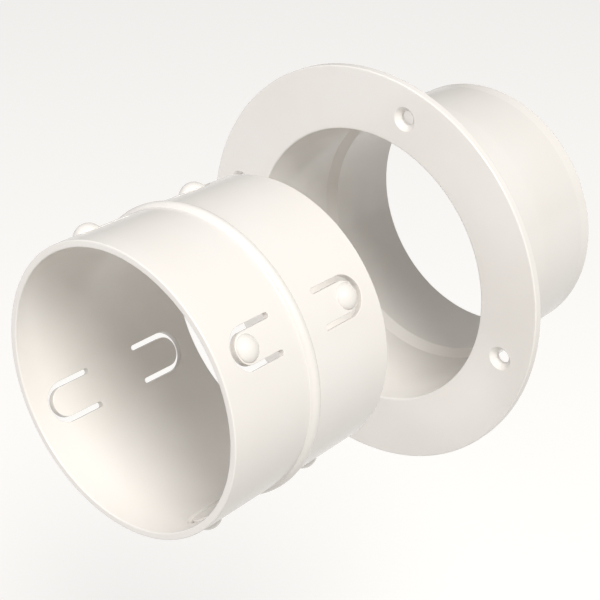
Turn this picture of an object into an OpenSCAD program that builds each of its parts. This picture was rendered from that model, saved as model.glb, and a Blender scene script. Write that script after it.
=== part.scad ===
// Two-piece plastic connector for a 4 inch dryer vent: a wall flange moulded
// in one with its collar, and a loose sleeve that pushes into the collar.
// The duct runs along Y. The flange's back face is the plane Y = 0, the collar
// runs from it into the wall along +Y, and the sleeve waits in the room on -Y.

/* [Sleeve] */
// Length of the sleeve from rim to rim
sleeve_length = 73.2; // [62:0.1:115]
// Outside diameter at the room end
sleeve_room_d = 100; // [80:0.5:160]
// How much narrower the outside is at the wall end
sleeve_draft = 2.8; // [0:0.1:4]
// Wall thickness of the sleeve
sleeve_wall = 2.4; // [1.6:0.1:3.2]
// Straight stretch behind the room end, before the taper starts
rim_land = 6.4; // [2:0.1:10]
// Height of the stop bead round the middle
bead_height = 1.5; // [0.8:0.1:2.4]
// Radius of the bead's crown
bead_crown_r = 2.4; // [1.8:0.1:4]
// Radius of the fillets beside the bead
bead_fillet_r = 0.4; // [0.2:0.1:1.5]

/* [Snap tongues] */
// Tongues in each of the two rows
tongue_count = 4; // [3:1:8]
// Turn of the first tongue from straight up, towards +X
tongue_turn = 59.3; // [0:0.1:90]
// Width of a tongue
tongue_width = 10.4; // [9.6:0.1:16]
// Width of the U-shaped slot round a tongue
slot_width = 1.9; // [1:0.1:3]
// Distance from a rim to the slot's arch
slot_inset = 6.7; // [4:0.1:10]
// Distance from a rim to the tongue's root
tongue_root = 26.6; // [20:0.1:28]
// Diameter of the dome at the tongue's surface
dome_d = 8.8; // [6:0.1:9.2]
// Height of the dome above the tongue
dome_height = 2.6; // [1:0.1:3.5]
// Distance from the tongue's tip to the dome's centre
dome_setback = 4.7; // [4.6:0.1:7]

/* [Wall flange] */
// Outside diameter of the flange
flange_d = 146.3; // [138:0.1:220]
// Thickness of the flange
flange_thickness = 3; // [2:0.1:6]
// Number of screw holes
screw_count = 4; // [3:1:8]
// Diameter of the circle through the screw holes
screw_circle_d = 123.4; // [117:0.1:135]
// Turn of the first screw hole from straight up, towards +X
screw_turn = 15; // [0:0.1:90]
// Diameter of the clearance holes
screw_hole_d = 5; // [3:0.1:6]
// Diameter of the countersinks at the front face
countersink_d = 8.6; // [7:0.1:10]

/* [Collar] */
// Length of the collar, from the flange's front face to its far end
collar_length = 70.5; // [56:0.1:160]
// Radial clearance between the mouth and the sleeve beside its bead
mouth_clearance = 1.3; // [0.5:0.05:3]
// Radial clearance between the socket's inner end and the sleeve's wall end
seat_clearance = 0.1; // [0.05:0.05:0.5]
// Gap left behind the seated sleeve, up to the shoulder
shoulder_gap = 2.2; // [0.5:0.1:6]
// Length of the sloping shoulder that ends the socket
shoulder_length = 3.7; // [1:0.1:8]
// Height of the shoulder
shoulder_height = 2.4; // [1.8:0.1:4]
// Wall thickness round the socket
socket_wall = 2.3; // [1.6:0.1:3.2]
// Depth of the outside step that ends the thicker socket wall
collar_step = 0.6; // [0.2:0.1:1.2]
// Wall thickness at the far end of the collar
tail_wall = 1.8; // [1.5:0.1:2.4]
// Straight stretch at the far end, where the pipe is pushed on
tail_land = 5; // [2:0.1:12]

/* [Edges] */
// Radius of the rounded rims
rim_round = 0.4; // [0.2:0.1:0.7]
// Radius of the collar's mouth in the flange
mouth_round = 0.6; // [0.3:0.1:1.4]
// Radius of the fillet where the collar leaves the flange
root_fillet = 1.5; // [0.5:0.1:4]

/* [Layout] */
// Distance from the flange's front face to the sleeve, drawn out of its socket
draw_out = 47.6; // [1:0.1:200]

/* [Hidden] */
$fn = 128;
plastic = [0.93, 0.92, 0.89];
overcut = 1;
corner_steps = 4;
bead_steps = 24;

sleeve_room_r = sleeve_room_d / 2;
sleeve_end_r = sleeve_room_r - sleeve_draft / 2;

// Outside radius of the sleeve at a distance z from its room end
function sleeve_r(z) = sleeve_room_r - (sleeve_room_r - sleeve_end_r)
    * max(0, z - rim_land) / (sleeve_length - rim_land);

// The bead is a crown arc between two fillet arcs, all tangent
bead_z = sleeve_length / 2;
bead_half = sqrt(pow(bead_crown_r + bead_fillet_r, 2)
    - pow(bead_crown_r + bead_fillet_r - bead_height, 2));
crown_half = bead_half * bead_crown_r / (bead_crown_r + bead_fillet_r);
function bead_rise(u) = abs(u) < crown_half
    ? bead_height - bead_crown_r + sqrt(pow(bead_crown_r, 2) - u * u)
    : bead_fillet_r - sqrt(max(0, pow(bead_fillet_r, 2) - pow(bead_half - abs(u), 2)));

slot_outer_r = tongue_width / 2 + slot_width;
slot_arch_z = slot_inset + slot_outer_r;
slot_leg_z = tongue_root - slot_width / 2;
dome_sink = 1;
dome_plinth = 0.15;
cap_height = dome_height - dome_plinth;
dome_sphere_r = (pow(dome_d / 2, 2) + pow(cap_height, 2)) / (2 * cap_height);
dome_inset = slot_inset + slot_width + dome_setback;

// The socket takes the wall half of the sleeve up to its bead
seat_depth = sleeve_length - bead_z - bead_half;
socket_depth = seat_depth + shoulder_gap;
mouth_r = sleeve_r(bead_z + bead_half) + mouth_clearance;
socket_end_r = sleeve_end_r + seat_clearance;
tail_bore_r = socket_end_r - shoulder_height;
tail_r = tail_bore_r + tail_wall;
step_z = socket_depth + shoulder_length / 2;

// Points of a rounded corner about a centre, from angle a to angle b
function arc(c, r, a, b, n = corner_steps) =
    [for (i = [0 : n]) c + r * [cos(a + (b - a) * i / n), sin(a + (b - a) * i / n)]];

// Stand the local Z axis along the duct's Y axis, from room to wall
module along_duct(y = 0) translate([0, y, 0]) rotate([-90, 0, 0]) children();

// Repeat round the axis, counted from straight up towards +X
module round_axis(count, turn)
    for (i = [0 : count - 1]) rotate([0, 0, turn - 90 + 360 * i / count]) children();

// Repeat for the row at the room end and its mirror image at the wall end
module both_ends() {
    children();
    translate([0, 0, sleeve_length]) mirror([0, 0, 1]) children();
}

// Half section of the sleeve's tapered wall with its bead
module sleeve_profile() {
    rr = rim_round;
    room_in = sleeve_room_r - sleeve_wall;
    wall_in = sleeve_end_r - sleeve_wall;
    bead = [for (i = [0 : bead_steps])
        let (u = bead_half * (2 * i / bead_steps - 1))
            [sleeve_r(bead_z + u) + bead_rise(u), bead_z + u]];
    polygon(concat(
        arc([room_in + rr, rr], rr, 180, 270),
        arc([sleeve_room_r - rr, rr], rr, 270, 360),
        [[sleeve_room_r, rim_land]],
        bead,
        arc([sleeve_end_r - rr, sleeve_length - rr], rr, 0, 90),
        arc([wall_in + rr, sleeve_length - rr], rr, 90, 180)));
}

// Spherical cap on a low round plinth that is sunk into the tongue's tip
module dome(z)
    translate([sleeve_r(z) - dome_sink, 0, z])
        rotate([0, 90, 0])
            intersection() {
                cylinder(h = dome_sink + 2 * dome_height, d = dome_d);
                translate([0, 0, dome_sink + dome_height - dome_sphere_r])
                    sphere(r = dome_sphere_r);
            }

// Outline of the U-shaped slot that frees a tongue, arch towards the rim
module slot_outline() {
    leg = slot_leg_z - slot_arch_z;
    translate([0, slot_arch_z]) {
        difference() {
            union() {
                circle(r = slot_outer_r);
                translate([-slot_outer_r, 0]) square([2 * slot_outer_r, leg]);
            }
            circle(r = tongue_width / 2);
            translate([-tongue_width / 2, 0]) square([tongue_width, leg + slot_outer_r]);
            translate([-slot_outer_r - overcut, leg])
                square([2 * (slot_outer_r + overcut), slot_outer_r]);
        }
        for (side = [-1, 1])
            translate([side * (tongue_width + slot_width) / 2, leg])
                circle(d = slot_width);
    }
}

module slot_cut()
    translate([sleeve_end_r - 2 * sleeve_wall, 0, 0])
        rotate([90, 0, 90])
            linear_extrude(height = 4 * sleeve_wall + dome_height)
                slot_outline();

// Loose sleeve with a stop bead and two rows of domed snap tongues
module duct_sleeve() color(plastic)
    along_duct(-flange_thickness - draw_out - sleeve_length) {
        difference() {
            rotate_extrude() sleeve_profile();
            round_axis(tongue_count, tongue_turn) both_ends() slot_cut();
        }
        round_axis(tongue_count, tongue_turn) {
            dome(dome_inset);
            dome(sleeve_length - dome_inset);
        }
    }

// Half section of the flange, the socket, its shoulder and the tail
module flange_profile() {
    rr = rim_round;
    outer = flange_d / 2;
    collar_r = mouth_r + socket_wall;
    step_r = socket_end_r + socket_wall;
    polygon(concat(
        arc([mouth_r + mouth_round, mouth_round], mouth_round, 180, 270),
        arc([outer - rr, rr], rr, 270, 360),
        arc([outer - rr, flange_thickness - rr], rr, 0, 90),
        arc([collar_r + root_fillet, flange_thickness + root_fillet], root_fillet, 270, 180),
        [[step_r, step_z],
         [step_r - collar_step, step_z + collar_step],
         [tail_r, collar_length - tail_land]],
        arc([tail_r - rr, collar_length - rr], rr, 0, 90),
        arc([tail_bore_r + rr, collar_length - rr], rr, 90, 180),
        [[tail_bore_r, socket_depth + shoulder_length],
         [socket_end_r, socket_depth]]));
}

// Clearance hole with a countersink at the front face
module screw_hole() {
    sink = (countersink_d - screw_hole_d) / 2;
    translate([screw_circle_d / 2, 0, 0]) {
        translate([0, 0, -overcut])
            cylinder(h = flange_thickness + 2 * overcut, d = screw_hole_d);
        translate([0, 0, -overcut])
            cylinder(h = sink + overcut, d1 = countersink_d + 2 * overcut, d2 = screw_hole_d);
    }
}

// Wall flange and collar, one moulding
module wall_flange() color(plastic)
    along_duct(-flange_thickness)
        difference() {
            rotate_extrude() flange_profile();
            round_axis(screw_count, screw_turn) screw_hole();
        }

wall_flange();
duct_sleeve();
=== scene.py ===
"""Looks of a two-piece plastic connector for a 4 inch dryer duct.

The wall flange is one moulding with its collar, and the sleeve is drawn out of it along the duct.
Sizes are in millimetres, in the frame of the solids: the duct runs along Y, the flange's back face
is Y = 0, and angles round the duct count from straight up towards +X.
"""

import logging
import math
from collections.abc import Callable
from dataclasses import dataclass, field
from enum import Enum

import bmesh
import bpy
from mathutils import Euler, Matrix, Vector
from mathutils.geometry import delaunay_2d_cdt

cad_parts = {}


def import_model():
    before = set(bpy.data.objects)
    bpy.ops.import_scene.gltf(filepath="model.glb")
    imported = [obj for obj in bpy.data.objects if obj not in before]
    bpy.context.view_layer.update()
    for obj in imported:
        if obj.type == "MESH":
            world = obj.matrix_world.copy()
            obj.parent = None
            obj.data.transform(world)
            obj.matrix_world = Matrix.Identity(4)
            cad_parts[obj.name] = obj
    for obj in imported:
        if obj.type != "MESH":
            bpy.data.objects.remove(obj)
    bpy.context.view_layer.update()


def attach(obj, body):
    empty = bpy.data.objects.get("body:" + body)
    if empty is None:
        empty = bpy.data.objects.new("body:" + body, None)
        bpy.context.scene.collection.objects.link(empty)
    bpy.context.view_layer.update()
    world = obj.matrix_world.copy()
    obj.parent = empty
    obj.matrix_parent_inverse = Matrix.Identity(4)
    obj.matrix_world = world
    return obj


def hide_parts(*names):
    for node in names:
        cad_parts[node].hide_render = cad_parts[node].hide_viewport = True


LOG = logging.getLogger("duct_connector")
MM = 0.001
BODY = "root"
Pair = tuple[float, float]


class End(Enum):
    """The two ends of the sleeve."""

    ROOM = "room"
    WALL = "wall"


class Skin(Enum):
    """The two faces of a moulded wall."""

    OUTSIDE = "outside"
    INSIDE = "inside"


def arc(centre: Pair, radius: float, start: float, end: float, steps: int) -> list[Pair]:
    """Walks along an arc.

    Args:
        centre: Centre of the arc.
        radius: Radius of the arc.
        start: First angle in degrees.
        end: Last angle in degrees.
        steps: Number of chords.

    Returns:
        The points from start to end, both included.
    """
    turns = [math.radians(start + (end - start) * i / steps) for i in range(steps + 1)]
    return [(centre[0] + radius * math.cos(t), centre[1] + radius * math.sin(t)) for t in turns]


def spaced(start: float, end: float, pitch: float) -> list[float]:
    """Divides a span evenly.

    Args:
        start: First value.
        end: Last value.
        pitch: Largest step allowed.

    Returns:
        The values from start to end, both included.
    """
    steps = max(1, math.ceil(abs(end - start) / pitch))
    return [start + (end - start) * i / steps for i in range(steps + 1)]


def guarded(outline: list[Pair], guard: float, shortest: float) -> list[Pair]:
    """Adds a point close to both ends of each long side, so that shading turns only at the corners.

    Args:
        outline: Closed outline.
        guard: Distance of the added points from the corners.
        shortest: Sides below this length are left alone.

    Returns:
        The outline with the added points.
    """
    out: list[Pair] = []
    for here, after in zip(outline, outline[1:] + outline[:1]):
        out.append(here)
        side = math.dist(here, after)
        if side >= shortest:
            for share in (guard / side, 1 - guard / side):
                out.append((here[0] + (after[0] - here[0]) * share, here[1] + (after[1] - here[1]) * share))
    return out


class ShellMesh:
    """Collects the points and faces of one closed moulding, in millimetres."""

    def __init__(self) -> None:
        """Starts with nothing."""
        self.points: list[Vector] = []
        self.faces: list[tuple[int, ...]] = []

    def add(self, radius: float, angle: float, y: float) -> int:
        """Adds a point given round the duct.

        Args:
            radius: Distance from the duct's axis.
            angle: Turn from straight up in radians.
            y: Place along the duct.

        Returns:
            The point's index.
        """
        self.points.append(Vector((radius * math.sin(angle), y, radius * math.cos(angle))))
        return len(self.points) - 1

    def strip(self, one: list[int], other: list[int], closed: bool) -> None:
        """Joins two rows of points with four-sided faces.

        Args:
            one: First row.
            other: Second row, as long as the first.
            closed: Whether the last point joins the first.
        """
        count = len(one)
        for i in range(count if closed else count - 1):
            j = (i + 1) % count
            self.faces.append((one[i], one[j], other[j], other[i]))

    def to_object(self, name: str) -> bpy.types.Object:
        """Makes the collected shell an object with outward faces.

        Args:
            name: Name of the object.

        Returns:
            The new object, at the origin.
        """
        mesh = bpy.data.meshes.new(name)
        mesh.from_pydata([p * MM for p in self.points], [], self.faces)
        work = bmesh.new()
        work.from_mesh(mesh)
        bmesh.ops.remove_doubles(work, verts=work.verts, dist=2e-6)
        bmesh.ops.recalc_face_normals(work, faces=work.faces)
        work.to_mesh(mesh)
        work.free()
        return link_mesh(name, mesh)


def link_mesh(name: str, mesh: bpy.types.Mesh) -> bpy.types.Object:
    """Puts a mesh into the scene as an object at the origin."""
    piece = bpy.data.objects.new(name, mesh)
    bpy.context.scene.collection.objects.link(piece)
    return piece


def smooth_by_angle(mesh: bpy.types.Mesh, degrees: float) -> None:
    """Shades a mesh smooth and keeps the edges sharper than the angle."""
    mesh.polygons.foreach_set("use_smooth", [True] * len(mesh.polygons))
    mesh.set_sharp_from_angle(angle=math.radians(degrees))


class Graph:
    """Short hand for building a node tree."""

    def __init__(self, tree: bpy.types.NodeTree) -> None:
        """Wraps a node tree."""
        self.tree = tree

    def node(self, kind: str, links: dict[str | int, object] | None = None, **settings: object) -> bpy.types.Node:
        """Adds a node.

        Args:
            kind: Node type.
            links: Input socket to an output socket or a plain value.
            **settings: Properties of the node.

        Returns:
            The new node.
        """
        made = self.tree.nodes.new(kind)
        for key, value in settings.items():
            setattr(made, key, value)
        for key, value in (links or {}).items():
            if isinstance(value, bpy.types.NodeSocket):
                self.tree.links.new(value, made.inputs[key])
            else:
                made.inputs[key].default_value = value
        return made

    def socket(self, name: str, kind: str, default: object = None, output: bool = False) -> None:
        """Adds a named input or output to the tree.

        Args:
            name: Name of the socket.
            kind: Socket type.
            default: Value of an input that nothing is linked to.
            output: Whether it is an output.
        """
        made = self.tree.interface.new_socket(name, in_out="OUTPUT" if output else "INPUT", socket_type=kind)
        if default is not None:
            made.default_value = default


def run_tree(piece: bpy.types.Object, tree: bpy.types.NodeTree, values: dict[str, object]) -> bpy.types.Object:
    """Runs a geometry tree on a piece and keeps the result as a plain mesh.

    Args:
        piece: Object whose mesh the tree starts from.
        tree: Geometry tree.
        values: Named input to its value.

    Returns:
        The piece, with its new mesh and no modifier.
    """
    modifier = piece.modifiers.new("build", "NODES")
    modifier.node_group = tree
    for item in tree.interface.items_tree:
        if item.item_type == "SOCKET" and item.in_out == "INPUT" and item.name in values:
            modifier[item.identifier] = values[item.name]
    evaluated = piece.evaluated_get(bpy.context.evaluated_depsgraph_get())
    mesh = bpy.data.meshes.new_from_object(evaluated)
    piece.modifiers.remove(modifier)
    piece.data = mesh
    return piece


@dataclass(frozen=True)
class SnapTongue:
    """A domed tongue freed from the sleeve's wall by a U-shaped slot."""

    width: float = 10.4
    gap: float = 1.9
    rim_inset: float = 6.7
    root: float = 26.6
    dome_diameter: float = 8.8
    dome_height: float = 2.6
    dome_setback: float = 4.7
    dome_plinth: float = 0.15
    dome_sink: float = 1.0
    arch_steps: int = 28
    cap_steps: int = 8
    leg_steps: int = 12

    @property
    def path_radius(self) -> float:
        """Radius of the middle of the slot's arch."""
        return (self.width + self.gap) / 2

    @property
    def arch_along(self) -> float:
        """Distance from the rim to the centre of the arch."""
        return self.rim_inset + self.width / 2 + self.gap

    @property
    def leg_along(self) -> float:
        """Distance from the rim to the centres of the slot's round ends."""
        return self.root - self.gap / 2

    @property
    def dome_along(self) -> float:
        """Distance from the rim to the dome's centre."""
        return self.rim_inset + self.gap + self.dome_setback

    def outline(self, spread: float) -> list[Pair]:
        """Draws the slot's edge as (across, along).

        Args:
            spread: How far the edge stands back from the slot all round.

        Returns:
            One closed loop, with the same number of points for any spread.
        """
        outer = self.width / 2 + self.gap + spread
        inner = self.width / 2 - spread
        cap = self.gap / 2 + spread
        arch, leg, mid = self.arch_along, self.leg_along, self.path_radius
        legs = [leg + (arch - leg) * i / self.leg_steps for i in range(1, self.leg_steps)]
        loop = arc((0, arch), outer, 180, 360, self.arch_steps)
        loop += [(outer, z) for z in reversed(legs)]
        loop += arc((mid, leg), cap, 0, 180, self.cap_steps)
        loop += [(inner, z) for z in legs]
        loop += arc((0, arch), inner, 0, -180, self.arch_steps)
        loop += [(-inner, z) for z in reversed(legs)]
        loop += arc((-mid, leg), cap, 0, 180, self.cap_steps)
        loop += [(-outer, z) for z in legs]
        return loop

    def distance(self, across: float, along: float) -> float:
        """Measures how far a place is from the middle of the slot.

        Args:
            across: Place across the tongue.
            along: Distance from the rim.

        Returns:
            The distance to the slot's centre line.
        """
        if along < self.arch_along:
            return abs(math.hypot(across, along - self.arch_along) - self.path_radius)
        beside = abs(across) - self.path_radius
        return math.hypot(beside, max(0.0, along - self.leg_along))


@dataclass
class SnapSleeve:
    """The loose sleeve: a tapered pipe with a stop bead and two rows of snap tongues."""

    length: float = 73.2
    room_diameter: float = 100.0
    draft: float = 2.8
    wall: float = 2.4
    rim_land: float = 6.4
    rim_round: float = 0.4
    bead_height: float = 1.5
    bead_crown: float = 2.4
    bead_fillet: float = 0.4
    room_y: float = -123.8
    tongue_count: int = 4
    tongue_turn: float = 59.3
    tongue: SnapTongue = field(default_factory=SnapTongue)
    columns: int = 256
    pitch: float = 1.3
    edge_round: float = 0.2
    guard: float = 0.2
    round_steps: int = 3

    @property
    def room_radius(self) -> float:
        """Outside radius at the room end."""
        return self.room_diameter / 2

    @property
    def end_radius(self) -> float:
        """Outside radius at the wall end."""
        return (self.room_diameter - self.draft) / 2

    def plain_radius(self, z: float) -> float:
        """Outside radius without the bead, at a distance z from the room end."""
        taper = (self.room_radius - self.end_radius) / (self.length - self.rim_land)
        return self.room_radius - taper * max(0.0, z - self.rim_land)

    def bead_half(self) -> float:
        """Half the width of the bead with its fillets."""
        reach = self.bead_crown + self.bead_fillet
        return math.sqrt(reach**2 - (reach - self.bead_height) ** 2)

    def bead_rise(self, offset: float) -> float:
        """Height of the bead at a distance from its middle."""
        half = self.bead_half()
        if abs(offset) >= half:
            return 0.0
        if abs(offset) < half * self.bead_crown / (self.bead_crown + self.bead_fillet):
            return self.bead_height - self.bead_crown + math.sqrt(self.bead_crown**2 - offset**2)
        return self.bead_fillet - math.sqrt(max(0.0, self.bead_fillet**2 - (half - abs(offset)) ** 2))

    def outer_radius(self, z: float) -> float:
        """Outside radius with the bead."""
        return self.plain_radius(z) + self.bead_rise(z - self.length / 2)

    def inner_radius(self, z: float) -> float:
        """Inside radius."""
        share = (z - self.rim_round) / (self.length - 2 * self.rim_round)
        return self.room_radius - self.wall - (self.room_radius - self.end_radius) * share

    def turns(self) -> list[float]:
        """Angles of the tongues in radians."""
        return [math.radians(self.tongue_turn + 360 * i / self.tongue_count) for i in range(self.tongue_count)]

    def place(self, end: End, along: float) -> float:
        """Turns a distance from one end's rim into a distance from the room end."""
        return along if end is End.ROOM else self.length - along

    def rows(self, skin: Skin) -> list[float]:
        """Lists the rows of a skin's grid.

        Args:
            skin: Which face of the wall.

        Returns:
            Distances from the room end, in order.
        """
        first, last = self.rim_round, self.length - self.rim_round
        stops = [first, first + self.guard]
        if skin is Skin.OUTSIDE:
            middle, half = self.length / 2, self.bead_half()
            stops += spaced(first + self.guard, self.rim_land, self.pitch)[1:]
            stops += spaced(self.rim_land, middle - half - self.guard, self.pitch)[1:]
            stops += [middle + half * (i / 14 - 1) for i in range(29)]
            stops += spaced(middle + half + self.guard, last - self.guard, self.pitch)
        else:
            stops += spaced(first + self.guard, last - self.guard, self.pitch)[1:]
        return stops + [last]

    def gap_distance(self, angle: float, z: float, radius: float) -> float:
        """Measures how far a place on the wall is from the nearest slot's middle.

        Args:
            angle: Turn from straight up in radians.
            z: Distance from the room end.
            radius: Distance from the duct's axis.

        Returns:
            The distance in millimetres, or a large number when no slot is near.
        """
        nearest = 1e3
        for turn in self.turns():
            away = (angle - turn + math.pi) % math.tau - math.pi
            if abs(away) < 0.4:
                along = min(z, self.length - z)
                nearest = min(nearest, self.tongue.distance(radius * math.sin(away), along))
        return nearest

    def add_loop(
        self, shell: ShellMesh, turn: float, end: End, spread: float, radius: Callable[[float], float]
    ) -> list[int]:
        """Adds one loop round a slot.

        Args:
            shell: Mesh to add to.
            turn: Angle of the tongue in radians.
            end: Which row the tongue is in.
            spread: How far the loop stands back from the slot.
            radius: Radius of the loop at a distance from the room end.

        Returns:
            Indices of the loop's points.
        """
        loop = []
        for across, along in self.tongue.outline(spread):
            z = self.place(end, along)
            r = radius(z)
            loop.append(shell.add(r, turn + math.asin(across / r), self.room_y + z))
        return loop

    def add_skin(self, shell: ShellMesh, skin: Skin) -> dict[tuple[float, End], list[int]]:
        """Adds one face of the wall, pierced by the slots.

        Args:
            shell: Mesh to add to.
            skin: Which face of the wall.

        Returns:
            The edge loop of each slot, by its turn and its row.
        """
        radius = self.outer_radius if skin is Skin.OUTSIDE else self.inner_radius
        scale = self.room_radius
        flat: list[Vector] = []
        spots: list[tuple[float, float, float]] = []
        edges: list[tuple[int, int]] = []
        loops: dict[tuple[float, End], list[int]] = {}
        clear = self.tongue.gap / 2 + self.edge_round + self.guard + 0.45
        rows = self.rows(skin)
        for z in rows:
            r = radius(z)
            border = z in (rows[0], rows[-1])
            for column in range(self.columns + 1):
                angle = math.tau * column / self.columns
                if border or self.gap_distance(angle, z, r) > clear:
                    flat.append(Vector((angle * scale, z)))
                    spots.append((r, angle, z))
        for turn in self.turns():
            for end in End:
                for spread in (self.edge_round + self.guard, self.edge_round):
                    first = len(flat)
                    for across, along in self.tongue.outline(spread):
                        z = self.place(end, along)
                        r = radius(z)
                        angle = turn + math.asin(across / r)
                        flat.append(Vector((angle * scale, z)))
                        spots.append((r, angle, z))
                    ring = list(range(first, len(flat)))
                    edges += zip(ring, ring[1:] + ring[:1])
                    loops[turn, end] = ring
        found, _, triangles, sources, _, _ = delaunay_2d_cdt(flat, edges, [], 0, 1e-7, True)
        index: list[int] = []
        source_to_point: dict[int, int] = {}
        for number, spot in enumerate(found):
            origin = sources[number]
            r, angle, z = spots[origin[0]] if origin else (radius(spot.y), spot.x / scale, spot.y)
            point = shell.add(r, angle, self.room_y + z)
            index.append(point)
            for one in origin:
                source_to_point[one] = point
        limit = self.tongue.gap / 2 + self.edge_round
        for triangle in triangles:
            middle = sum((found[i] for i in triangle), Vector((0.0, 0.0))) / len(triangle)
            if self.gap_distance(middle.x / scale, middle.y, radius(middle.y)) > limit:
                shell.faces.append(tuple(index[i] for i in triangle))
        return {key: [source_to_point[i] for i in ring] for key, ring in loops.items()}

    def add_slot_walls(
        self, shell: ShellMesh, outside: dict[tuple[float, End], list[int]], inside: dict[tuple[float, End], list[int]]
    ) -> None:
        """Adds the softened edges and the walls of every slot.

        Args:
            shell: Mesh to add to.
            outside: Edge loops of the outer skin.
            inside: Edge loops of the inner skin.
        """
        for turn, end in outside:
            row = outside[turn, end]
            for skin in (Skin.OUTSIDE, Skin.INSIDE):
                lap = inside[turn, end] if skin is Skin.INSIDE else row
                rings = [lap]
                for step in range(1, self.round_steps + 1):
                    t = math.pi / 2 * step / self.round_steps
                    spread = self.edge_round * (1 - math.sin(t))
                    depth = self.edge_round * (1 - math.cos(t))
                    if skin is Skin.OUTSIDE:
                        rings.append(self.add_loop(shell, turn, end, spread, lambda z: self.outer_radius(z) - depth))
                    else:
                        rings.append(self.add_loop(shell, turn, end, spread, lambda z: self.inner_radius(z) + depth))
                for one, other in zip(rings, rings[1:]):
                    shell.strip(one, other, True)
                if skin is Skin.OUTSIDE:
                    top = rings[-1]
                else:
                    shell.strip(top, rings[-1], True)

    def add_rims(self, shell: ShellMesh) -> None:
        """Adds the rounded rims that close the wall at both ends.

        Args:
            shell: Mesh to add to.
        """
        rr = self.rim_round
        for end in End:
            z_in = self.place(end, rr)
            outer, inner = self.outer_radius(z_in), self.inner_radius(z_in)
            half = [(outer - rr + rr * math.cos(t), rr - rr * math.sin(t)) for t in self.quarter()]
            half.append((outer - rr - self.guard, 0.0))
            half.append((inner + rr + self.guard, 0.0))
            half += [(inner + rr - rr * math.cos(t), rr - rr * math.sin(t)) for t in reversed(self.quarter())]
            rings = []
            for r, along in half:
                z = self.room_y + self.place(end, along)
                rings.append([shell.add(r, math.tau * c / self.columns, z) for c in range(self.columns + 1)])
            for one, other in zip(rings, rings[1:]):
                shell.strip(one, other, False)

    @staticmethod
    def quarter() -> list[float]:
        """Angles of a quarter turn in four steps."""
        return [math.pi / 8 * i for i in range(5)]

    def build_wall(self) -> bpy.types.Object:
        """Builds the sleeve's pierced wall.

        Returns:
            The finished wall.
        """
        shell = ShellMesh()
        outside = self.add_skin(shell, Skin.OUTSIDE)
        inside = self.add_skin(shell, Skin.INSIDE)
        self.add_slot_walls(shell, outside, inside)
        self.add_rims(shell)
        piece = shell.to_object("sleeve_wall")
        smooth_by_angle(piece.data, 40)
        return piece

    def dome_cap(self) -> bpy.types.Mesh:
        """Turns the profile of one dome, standing on local Z at the skin.

        Returns:
            A closed cap whose base is sunk into the wall.
        """
        tongue = self.tongue
        foot = tongue.dome_diameter / 2
        rise = tongue.dome_height - tongue.dome_plinth
        ball = (foot**2 + rise**2) / (2 * rise)
        reach = math.degrees(math.asin(foot / ball))
        profile = [(0.0, -tongue.dome_sink), (foot, -tongue.dome_sink)]
        for step in range(13):
            t = math.radians(reach * (1 - step / 12))
            profile.append((ball * math.sin(t), tongue.dome_height - ball + ball * math.cos(t)))
        profile[-1] = (0.0, tongue.dome_height)
        work = bmesh.new()
        chain = [work.verts.new((r * MM, 0, z * MM)) for r, z in profile]
        edges = [work.edges.new(pair) for pair in zip(chain, chain[1:])]
        bmesh.ops.spin(work, geom=chain + edges, axis=(0, 0, 1), cent=(0, 0, 0), angle=math.tau, steps=48)
        bmesh.ops.remove_doubles(work, verts=work.verts, dist=1e-6)
        bmesh.ops.recalc_face_normals(work, faces=work.faces)
        mesh = bpy.data.meshes.new("dome_cap")
        work.to_mesh(mesh)
        work.free()
        smooth_by_angle(mesh, 40)
        return mesh

    def build_domes(self, material: bpy.types.Material) -> bpy.types.Object:
        """Repeats the dome on every tongue.

        Args:
            material: Finish of the domes.

        Returns:
            All the domes as one piece.
        """
        rings = {}
        for end in End:
            z = self.place(end, self.tongue.dome_along)
            rings[f"{end.value.title()} Radius"] = self.plain_radius(z) * MM
            rings[f"{end.value.title()} Place"] = (self.room_y + z) * MM
        piece = link_mesh("snap_domes", self.dome_cap())
        values = {"Count": self.tongue_count, "Turn": math.radians(self.tongue_turn), "Material": material}
        return run_tree(piece, self.dome_tree(), values | rings)

    @staticmethod
    def dome_tree() -> bpy.types.NodeTree:
        """Makes the tree that stands its input on two rings round the duct, facing outwards.

        Returns:
            A geometry tree with named inputs.
        """
        graph = Graph(bpy.data.node_groups.new("domes on two rings", "GeometryNodeTree"))
        graph.socket("Geometry", "NodeSocketGeometry")
        graph.socket("Geometry", "NodeSocketGeometry", output=True)
        graph.socket("Count", "NodeSocketInt", 4)
        graph.socket("Turn", "NodeSocketFloat", 0.0)
        for end in End:
            graph.socket(f"{end.value.title()} Radius", "NodeSocketFloat", 0.05)
            graph.socket(f"{end.value.title()} Place", "NodeSocketFloat", 0.0)
        graph.socket("Material", "NodeSocketMaterial")
        inputs = graph.node("NodeGroupInput").outputs
        start = graph.node("ShaderNodeMath", {0: inputs["Turn"], 1: math.pi / 2}, operation="SUBTRACT")
        spin = graph.node("ShaderNodeCombineXYZ", {"Z": start.outputs[0]})
        both = graph.node("GeometryNodeJoinGeometry")
        for end in End:
            ring = graph.node(
                "GeometryNodeMeshCircle",
                {"Vertices": inputs["Count"], "Radius": inputs[f"{end.value.title()} Radius"]},
            )
            shift = graph.node("ShaderNodeCombineXYZ", {"Z": inputs[f"{end.value.title()} Place"]})
            moved = graph.node(
                "GeometryNodeTransform",
                {"Geometry": ring.outputs[0], "Translation": shift.outputs[0], "Rotation": spin.outputs[0]},
            )
            graph.tree.links.new(moved.outputs[0], both.inputs[0])
        outward = graph.node(
            "ShaderNodeVectorMath",
            {0: graph.node("GeometryNodeInputPosition").outputs[0], 1: (1.0, 1.0, 0.0)},
            operation="MULTIPLY",
        )
        facing = graph.node("FunctionNodeAlignRotationToVector", {"Vector": outward.outputs[0]}, axis="Z")
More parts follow.
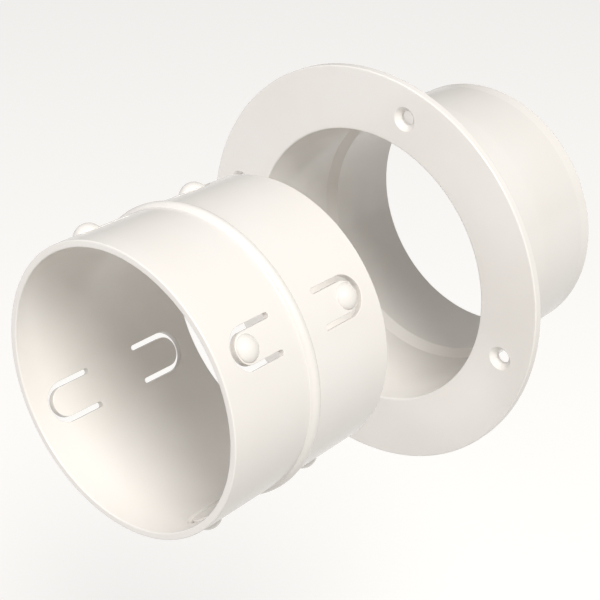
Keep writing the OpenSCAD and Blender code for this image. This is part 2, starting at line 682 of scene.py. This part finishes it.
        stood = graph.node(
            "GeometryNodeInstanceOnPoints",
            {"Points": both.outputs[0], "Instance": inputs["Geometry"], "Rotation": facing.outputs[0]},
        )
        laid = graph.node(
            "GeometryNodeTransform", {"Geometry": stood.outputs[0], "Rotation": (-math.pi / 2, 0.0, 0.0)}
        )
        real = graph.node("GeometryNodeRealizeInstances", {"Geometry": laid.outputs[0]})
        done = graph.node("GeometryNodeSetMaterial", {"Geometry": real.outputs[0], "Material": inputs["Material"]})
        graph.node("NodeGroupOutput", {"Geometry": done.outputs[0]})
        return graph.tree


@dataclass
class WallFlange:
    """The wall flange and its collar, one moulding."""

    diameter: float = 146.3
    thickness: float = 3.0
    screw_count: int = 4
    screw_circle: float = 123.4
    screw_turn: float = 15.0
    screw_hole: float = 5.0
    countersink: float = 8.6
    collar_length: float = 70.5
    mouth_clearance: float = 1.3
    seat_clearance: float = 0.1
    shoulder_gap: float = 2.2
    shoulder_length: float = 3.7
    shoulder_height: float = 2.4
    socket_wall: float = 2.3
    collar_step: float = 0.6
    tail_wall: float = 1.8
    tail_land: float = 5.0
    rim_round: float = 0.4
    mouth_round: float = 0.6
    root_fillet: float = 1.5
    segments: int = 256

    def profile(self, sleeve: SnapSleeve) -> list[Pair]:
        """Draws the half section as (radius, depth behind the front face).

        Args:
            sleeve: The sleeve that the socket takes.

        Returns:
            A closed outline.
        """
        rr, t = self.rim_round, self.thickness
        outer = self.diameter / 2
        bead_edge = sleeve.length / 2 + sleeve.bead_half()
        mouth = sleeve.plain_radius(bead_edge) + self.mouth_clearance
        socket_depth = sleeve.length - bead_edge + self.shoulder_gap
        socket_end = sleeve.end_radius + self.seat_clearance
        bore = socket_end - self.shoulder_height
        tail = bore + self.tail_wall
        step_r, step_z = socket_end + self.socket_wall, socket_depth + self.shoulder_length / 2
        root_r = mouth + self.socket_wall + self.root_fillet
        end = self.collar_length
        line = arc((mouth + self.mouth_round, self.mouth_round), self.mouth_round, 180, 270, 4)
        line += arc((outer - rr, rr), rr, 270, 360, 4)
        line += arc((outer - rr, t - rr), rr, 0, 90, 4)
        line += arc((root_r, t + self.root_fillet), self.root_fillet, 270, 180, 6)
        line += [(step_r, step_z), (step_r - self.collar_step, step_z + self.collar_step)]
        line.append((tail, end - self.tail_land))
        line += arc((tail - rr, end - rr), rr, 0, 90, 4)
        line += arc((bore + rr, end - rr), rr, 90, 180, 4)
        line += [(bore, socket_depth + self.shoulder_length), (socket_end, socket_depth)]
        return guarded(line, 0.25, 0.9)

    def build(self, sleeve: SnapSleeve, material: bpy.types.Material) -> bpy.types.Object:
        """Builds the flange with its collar and screw holes.

        Args:
            sleeve: The sleeve that the socket takes.
            material: Finish of the moulding.

        Returns:
            The finished piece.
        """
        path = 60.0
        outline = list(reversed(self.profile(sleeve)))
        line = [((r - path) * MM, -(depth - self.thickness) * MM, 0.0) for r, depth in outline]
        count = len(line)
        mesh = bpy.data.meshes.new("flange_section")
        mesh.from_pydata(line, [(i, (i + 1) % count) for i in range(count)], [])
        piece = link_mesh("wall_flange_moulding", mesh)
        values = {
            "Segments": self.segments,
            "Path Radius": path * MM,
            "Thickness": self.thickness * MM,
            "Screws": self.screw_count,
            "Screw Circle": self.screw_circle / 2 * MM,
            "Screw Turn": math.radians(self.screw_turn),
            "Hole Radius": self.screw_hole / 2 * MM,
            "Countersink Radius": self.countersink / 2 * MM,
            "Material": material,
        }
        run_tree(piece, self.spin_tree(), values)
        smooth_by_angle(piece.data, 28)
        return piece

    @staticmethod
    def spin_tree() -> bpy.types.NodeTree:
        """Makes the tree that spins a section round the duct and sinks the screw holes.

        Returns:
            A geometry tree with named inputs.
        """
        graph = Graph(bpy.data.node_groups.new("spun flange", "GeometryNodeTree"))
        graph.socket("Geometry", "NodeSocketGeometry")
        graph.socket("Geometry", "NodeSocketGeometry", output=True)
        graph.socket("Segments", "NodeSocketInt", 128)
        graph.socket("Screws", "NodeSocketInt", 4)
        for name in ("Path Radius", "Thickness", "Screw Circle", "Screw Turn", "Hole Radius", "Countersink Radius"):
            graph.socket(name, "NodeSocketFloat", 0.01)
        graph.socket("Material", "NodeSocketMaterial")
        inputs = graph.node("NodeGroupInput").outputs
        section = graph.node("GeometryNodeMeshToCurve", {"Mesh": inputs["Geometry"]})
        path = graph.node(
            "GeometryNodeCurvePrimitiveCircle", {"Resolution": inputs["Segments"], "Radius": inputs["Path Radius"]}
        )
        spun = graph.node("GeometryNodeCurveToMesh", {"Curve": path.outputs[0], "Profile Curve": section.outputs[0]})
        sink = graph.node(
            "ShaderNodeMath", {0: inputs["Countersink Radius"], 1: inputs["Hole Radius"]}, operation="SUBTRACT"
        )
        proud = 0.001
        front = graph.node("ShaderNodeMath", {0: -1.0, 1: inputs["Thickness"], 2: -proud}, operation="MULTIPLY_ADD")
        base = graph.node("ShaderNodeCombineXYZ", {"Z": front.outputs[0]})
        wide = graph.node("ShaderNodeMath", {0: inputs["Countersink Radius"], 1: proud}, operation="ADD")
        lap = 0.0006
        deep = graph.node("ShaderNodeMath", {0: sink.outputs[0], 1: proud + lap}, operation="ADD")
        tip = graph.node("ShaderNodeMath", {0: inputs["Hole Radius"], 1: lap}, operation="SUBTRACT")
        cone = graph.node(
            "GeometryNodeMeshCone",
            {
                "Vertices": 64,
                "Radius Top": tip.outputs[0],
                "Radius Bottom": wide.outputs[0],
                "Depth": deep.outputs[0],
            },
        )
        cone_placed = graph.node(
            "GeometryNodeTransform", {"Geometry": cone.outputs[0], "Translation": base.outputs[0]}
        )
        through = graph.node("ShaderNodeMath", {0: inputs["Thickness"], 1: 4.0}, operation="MULTIPLY")
        drill = graph.node(
            "GeometryNodeMeshCylinder",
            {"Vertices": 64, "Radius": inputs["Hole Radius"], "Depth": through.outputs[0]},
        )
        start = graph.node("ShaderNodeMath", {0: inputs["Screw Turn"], 1: math.pi / 2}, operation="SUBTRACT")
        turn = graph.node("ShaderNodeCombineXYZ", {"Z": start.outputs[0]})
        ring = graph.node(
            "GeometryNodeMeshCircle", {"Vertices": inputs["Screws"], "Radius": inputs["Screw Circle"]}
        )
        seats = graph.node(
            "GeometryNodeTransform", {"Geometry": ring.outputs[0], "Rotation": turn.outputs[0]}
        )
        cut = spun.outputs[0]
        for tool in (drill.outputs[0], cone_placed.outputs[0]):
            tools = graph.node("GeometryNodeInstanceOnPoints", {"Points": seats.outputs[0], "Instance": tool})
            real = graph.node("GeometryNodeRealizeInstances", {"Geometry": tools.outputs[0]})
            less = graph.node("GeometryNodeMeshBoolean", {"Mesh 1": cut}, operation="DIFFERENCE", solver="MANIFOLD")
            graph.tree.links.new(real.outputs[0], less.inputs["Mesh 2"])
            cut = less.outputs[0]
        laid = graph.node("GeometryNodeTransform", {"Geometry": cut, "Rotation": (-math.pi / 2, 0.0, 0.0)})
        real = graph.node("GeometryNodeRealizeInstances", {"Geometry": laid.outputs[0]})
        done = graph.node("GeometryNodeSetMaterial", {"Geometry": real.outputs[0], "Material": inputs["Material"]})
        graph.node("NodeGroupOutput", {"Geometry": done.outputs[0]})
        return graph.tree


class MouldedSurface:
    """Shader group with the fine surface of injection moulded plastic."""

    def __init__(self) -> None:
        """Builds the group once."""
        tree = bpy.data.node_groups.new("moulded surface", "ShaderNodeTree")
        graph = Graph(tree)
        graph.socket("Color", "NodeSocketColor", (0.8, 0.8, 0.8, 1.0))
        graph.socket("Shade Color", "NodeSocketColor", (0.7, 0.7, 0.7, 1.0))
        graph.socket("Roughness", "NodeSocketFloat", 0.3)
        graph.socket("Roughness Spread", "NodeSocketFloat", 0.05)
        graph.socket("Grain Size", "NodeSocketFloat", 0.001)
        graph.socket("Grain Depth", "NodeSocketFloat", 0.00001)
        graph.socket("Color", "NodeSocketColor", output=True)
        graph.socket("Roughness", "NodeSocketFloat", output=True)
        graph.socket("Normal", "NodeSocketVector", output=True)
        inputs = graph.node("NodeGroupInput").outputs
        where = graph.node("ShaderNodeTexCoord").outputs["Object"]
        frequency = graph.node("ShaderNodeMath", {0: 1.0, 1: inputs["Grain Size"]}, operation="DIVIDE")
        cloud = graph.node("ShaderNodeTexNoise", {"Vector": where, "Scale": 22.0, "Detail": 3.0, "Roughness": 0.55})
        grain = graph.node(
            "ShaderNodeTexNoise",
            {"Vector": where, "Scale": frequency.outputs[0], "Detail": 2.0, "Roughness": 0.5},
        )
        soft = graph.node(
            "ShaderNodeMapRange",
            {"Value": cloud.outputs["Fac"], "From Min": 0.35, "From Max": 0.65, "To Min": 0.0, "To Max": 1.0},
            interpolation_type="SMOOTHSTEP",
        )
        tint = graph.node(
            "ShaderNodeMix",
            {"Factor": soft.outputs[0], 6: inputs["Color"], 7: inputs["Shade Color"]},
            data_type="RGBA",
        )
        swing = graph.node("ShaderNodeMath", {0: soft.outputs[0], 1: 0.5}, operation="SUBTRACT")
        rough = graph.node(
            "ShaderNodeMath",
            {0: swing.outputs[0], 1: inputs["Roughness Spread"], 2: inputs["Roughness"]},
            operation="MULTIPLY_ADD",
        )
        bump = graph.node(
            "ShaderNodeBump",
            {"Strength": 0.35, "Distance": inputs["Grain Depth"], "Height": grain.outputs["Fac"]},
        )
        graph.node(
            "NodeGroupOutput",
            {"Color": tint.outputs[2], "Roughness": rough.outputs[0], "Normal": bump.outputs[0]},
        )
        self.tree = tree


@dataclass(frozen=True)
class GlossyPlastic:
    """A finish of warm white glossy plastic."""

    name: str
    color: tuple[float, float, float] = (0.84, 0.82, 0.79)
    shade: tuple[float, float, float] = (0.825, 0.80, 0.765)
    roughness: float = 0.2
    roughness_spread: float = 0.04
    grain_size: float = 0.0011
    grain_depth: float = 0.000012
    gloss: float = 0.5

    def make(self, surface: MouldedSurface) -> bpy.types.Material:
        """Makes the material.

        Args:
            surface: The shared moulded surface.

        Returns:
            A node material.
        """
        material = bpy.data.materials.new(self.name)
        material.use_nodes = True
        material.node_tree.nodes.clear()
        graph = Graph(material.node_tree)
        skin = graph.node("ShaderNodeGroup", node_tree=surface.tree)
        skin.inputs["Color"].default_value = (*self.color, 1.0)
        skin.inputs["Shade Color"].default_value = (*self.shade, 1.0)
        skin.inputs["Roughness"].default_value = self.roughness
        skin.inputs["Roughness Spread"].default_value = self.roughness_spread
        skin.inputs["Grain Size"].default_value = self.grain_size
        skin.inputs["Grain Depth"].default_value = self.grain_depth
        shader = graph.node(
            "ShaderNodeBsdfPrincipled",
            {
                "Base Color": skin.outputs["Color"],
                "Roughness": skin.outputs["Roughness"],
                "Normal": skin.outputs["Normal"],
                "Specular IOR Level": self.gloss,
            },
        )
        graph.node("ShaderNodeOutputMaterial", {"Surface": shader.outputs[0]})
        return material


@dataclass(frozen=True)
class SoftLamp:
    """A large square lamp that looks at a point near the part."""

    name: str
    place: tuple[float, float, float]
    target: tuple[float, float, float]
    size: float
    power: float
    color: tuple[float, float, float] = (1.0, 1.0, 1.0)

    def make(self) -> bpy.types.Object:
        """Hangs the lamp.

        Returns:
            The lamp.
        """
        light = bpy.data.lights.new(self.name, "AREA")
        light.shape = "DISK"
        light.size = self.size
        light.energy = self.power
        light.color = self.color
        lamp = bpy.data.objects.new(self.name, light)
        lamp.location = self.place
        aim = Vector(self.target) - Vector(self.place)
        lamp.rotation_euler = aim.to_track_quat("-Z", "Y").to_euler()
        bpy.context.scene.collection.objects.link(lamp)
        return lamp


@dataclass
class PhotoCamera:
    """The camera at the photograph's place, in the frame of the solids."""

    place: tuple[float, float, float] = (0.3641, -0.4549, 0.2774)
    azimuth: float = 41.12
    elevation: float = 26.63
    focal_pixels: float = 1810.5
    image_pixels: float = 600.0

    def make(self) -> bpy.types.Object:
        """Puts the camera up and makes it the scene's own.

        Returns:
            The camera.
        """
        data = bpy.data.cameras.new("photo_camera")
        data.sensor_fit = "HORIZONTAL"
        data.sensor_width = 36.0
        data.lens = self.focal_pixels / self.image_pixels * data.sensor_width
        data.clip_start = 0.01
        data.clip_end = 50.0
        camera = bpy.data.objects.new("photo_camera", data)
        camera.location = self.place
        camera.rotation_euler = Euler((math.radians(90 - self.elevation), 0.0, math.radians(self.azimuth)))
        bpy.context.scene.collection.objects.link(camera)
        bpy.context.scene.camera = camera
        return camera


@dataclass
class Studio:
    """A plain pale floor, a white ground and soft lamps."""

    floor_z: float = -0.40
    floor_half: float = 6.0
    floor_color: tuple[float, float, float] = (0.55, 0.54, 0.52)
    floor_glow: float = 0.55
    world_color: tuple[float, float, float] = (0.62, 0.60, 0.58)
    world_strength: float = 0.55
    lamps: tuple[SoftLamp, ...] = (
        SoftLamp("key", (1.5, -0.9, 1.9), (0.0, -0.03, 0.0), 1.1, 62.0, (1.0, 0.985, 0.96)),
        SoftLamp("front", (-0.9, -2.2, 0.8), (0.0, -0.03, 0.0), 1.3, 16.0, (0.97, 0.96, 1.0)),
    )

    def build_floor(self) -> bpy.types.Object:
        """Lays the floor.

        Returns:
            The floor.
        """
        half, z = self.floor_half, self.floor_z
        mesh = bpy.data.meshes.new("floor")
        mesh.from_pydata([(-half, -half, z), (half, -half, z), (half, half, z), (-half, half, z)], [], [(0, 1, 2, 3)])
        floor = link_mesh("floor", mesh)
        material = bpy.data.materials.new("pale floor")
        material.use_nodes = True
        material.node_tree.nodes.clear()
        graph = Graph(material.node_tree)
        matte = graph.node("ShaderNodeBsdfDiffuse", {"Color": (*self.floor_color, 1.0)})
        rays = graph.node("ShaderNodeLightPath").outputs
        seen = graph.node("ShaderNodeMath", {0: rays["Is Camera Ray"], 1: rays["Is Glossy Ray"]}, operation="MAXIMUM")
        clear = graph.node("ShaderNodeMath", {0: seen.outputs[0], 1: rays["Is Transmission Ray"]}, operation="MAXIMUM")
        glow = graph.node("ShaderNodeMath", {0: clear.outputs[0], 1: self.floor_glow}, operation="MULTIPLY")
        lit = graph.node("ShaderNodeEmission", {"Color": (1.0, 1.0, 1.0, 1.0), "Strength": glow.outputs[0]})
        both = graph.node("ShaderNodeAddShader", {0: matte.outputs[0], 1: lit.outputs[0]})
        graph.node("ShaderNodeOutputMaterial", {"Surface": both.outputs[0]})
        mesh.materials.append(material)
        return floor

    def build_world(self) -> None:
        """Sets a soft even sky that is white to the camera."""
        world = bpy.data.worlds.new("studio")
        world.use_nodes = True
        world.node_tree.nodes.clear()
        graph = Graph(world.node_tree)
        rays = graph.node("ShaderNodeLightPath").outputs
        soft = graph.node(
            "ShaderNodeBackground", {"Color": (*self.world_color, 1.0), "Strength": self.world_strength}
        )
        white = graph.node("ShaderNodeBackground", {"Color": (1.0, 1.0, 1.0, 1.0), "Strength": 1.0})
        mixed = graph.node(
            "ShaderNodeMixShader", {0: rays["Is Camera Ray"], 1: soft.outputs[0], 2: white.outputs[0]}
        )
        graph.node("ShaderNodeOutputWorld", {"Surface": mixed.outputs[0]})
        bpy.context.scene.world = world

    def build(self) -> None:
        """Sets up the floor, the world and the lamps."""
        self.build_world()
        self.build_floor()
        for lamp in self.lamps:
            lamp.make()
        bpy.context.scene.view_settings.view_transform = "Standard"


def carry(piece: bpy.types.Object, node: str) -> None:
    """Fixes a finished piece to the body and lets it stand for its solid.

    Args:
        piece: The finished piece.
        node: Name of the solid.
    """
    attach(piece, BODY)
    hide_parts(node)
    piece.data.calc_loop_triangles()
    LOG.info("%s: %d triangles", piece.name, len(piece.data.loop_triangles))


def main() -> None:
    """Builds the part's pieces, the studio and the camera."""
    logging.basicConfig(level=logging.INFO, format="%(name)s: %(message)s")
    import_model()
    PhotoCamera().make()
    Studio().build()
    surface = MouldedSurface()
    flange_finish = GlossyPlastic("flange white plastic").make(surface)
    sleeve_finish = GlossyPlastic("sleeve white plastic").make(surface)
    sleeve = SnapSleeve()
    wall = sleeve.build_wall()
    wall.data.materials.append(sleeve_finish)
    carry(wall, "duct_sleeve")
    carry(sleeve.build_domes(sleeve_finish), "duct_sleeve")
    carry(WallFlange().build(sleeve, flange_finish), "wall_flange")


if __name__ == "__main__":
    main()
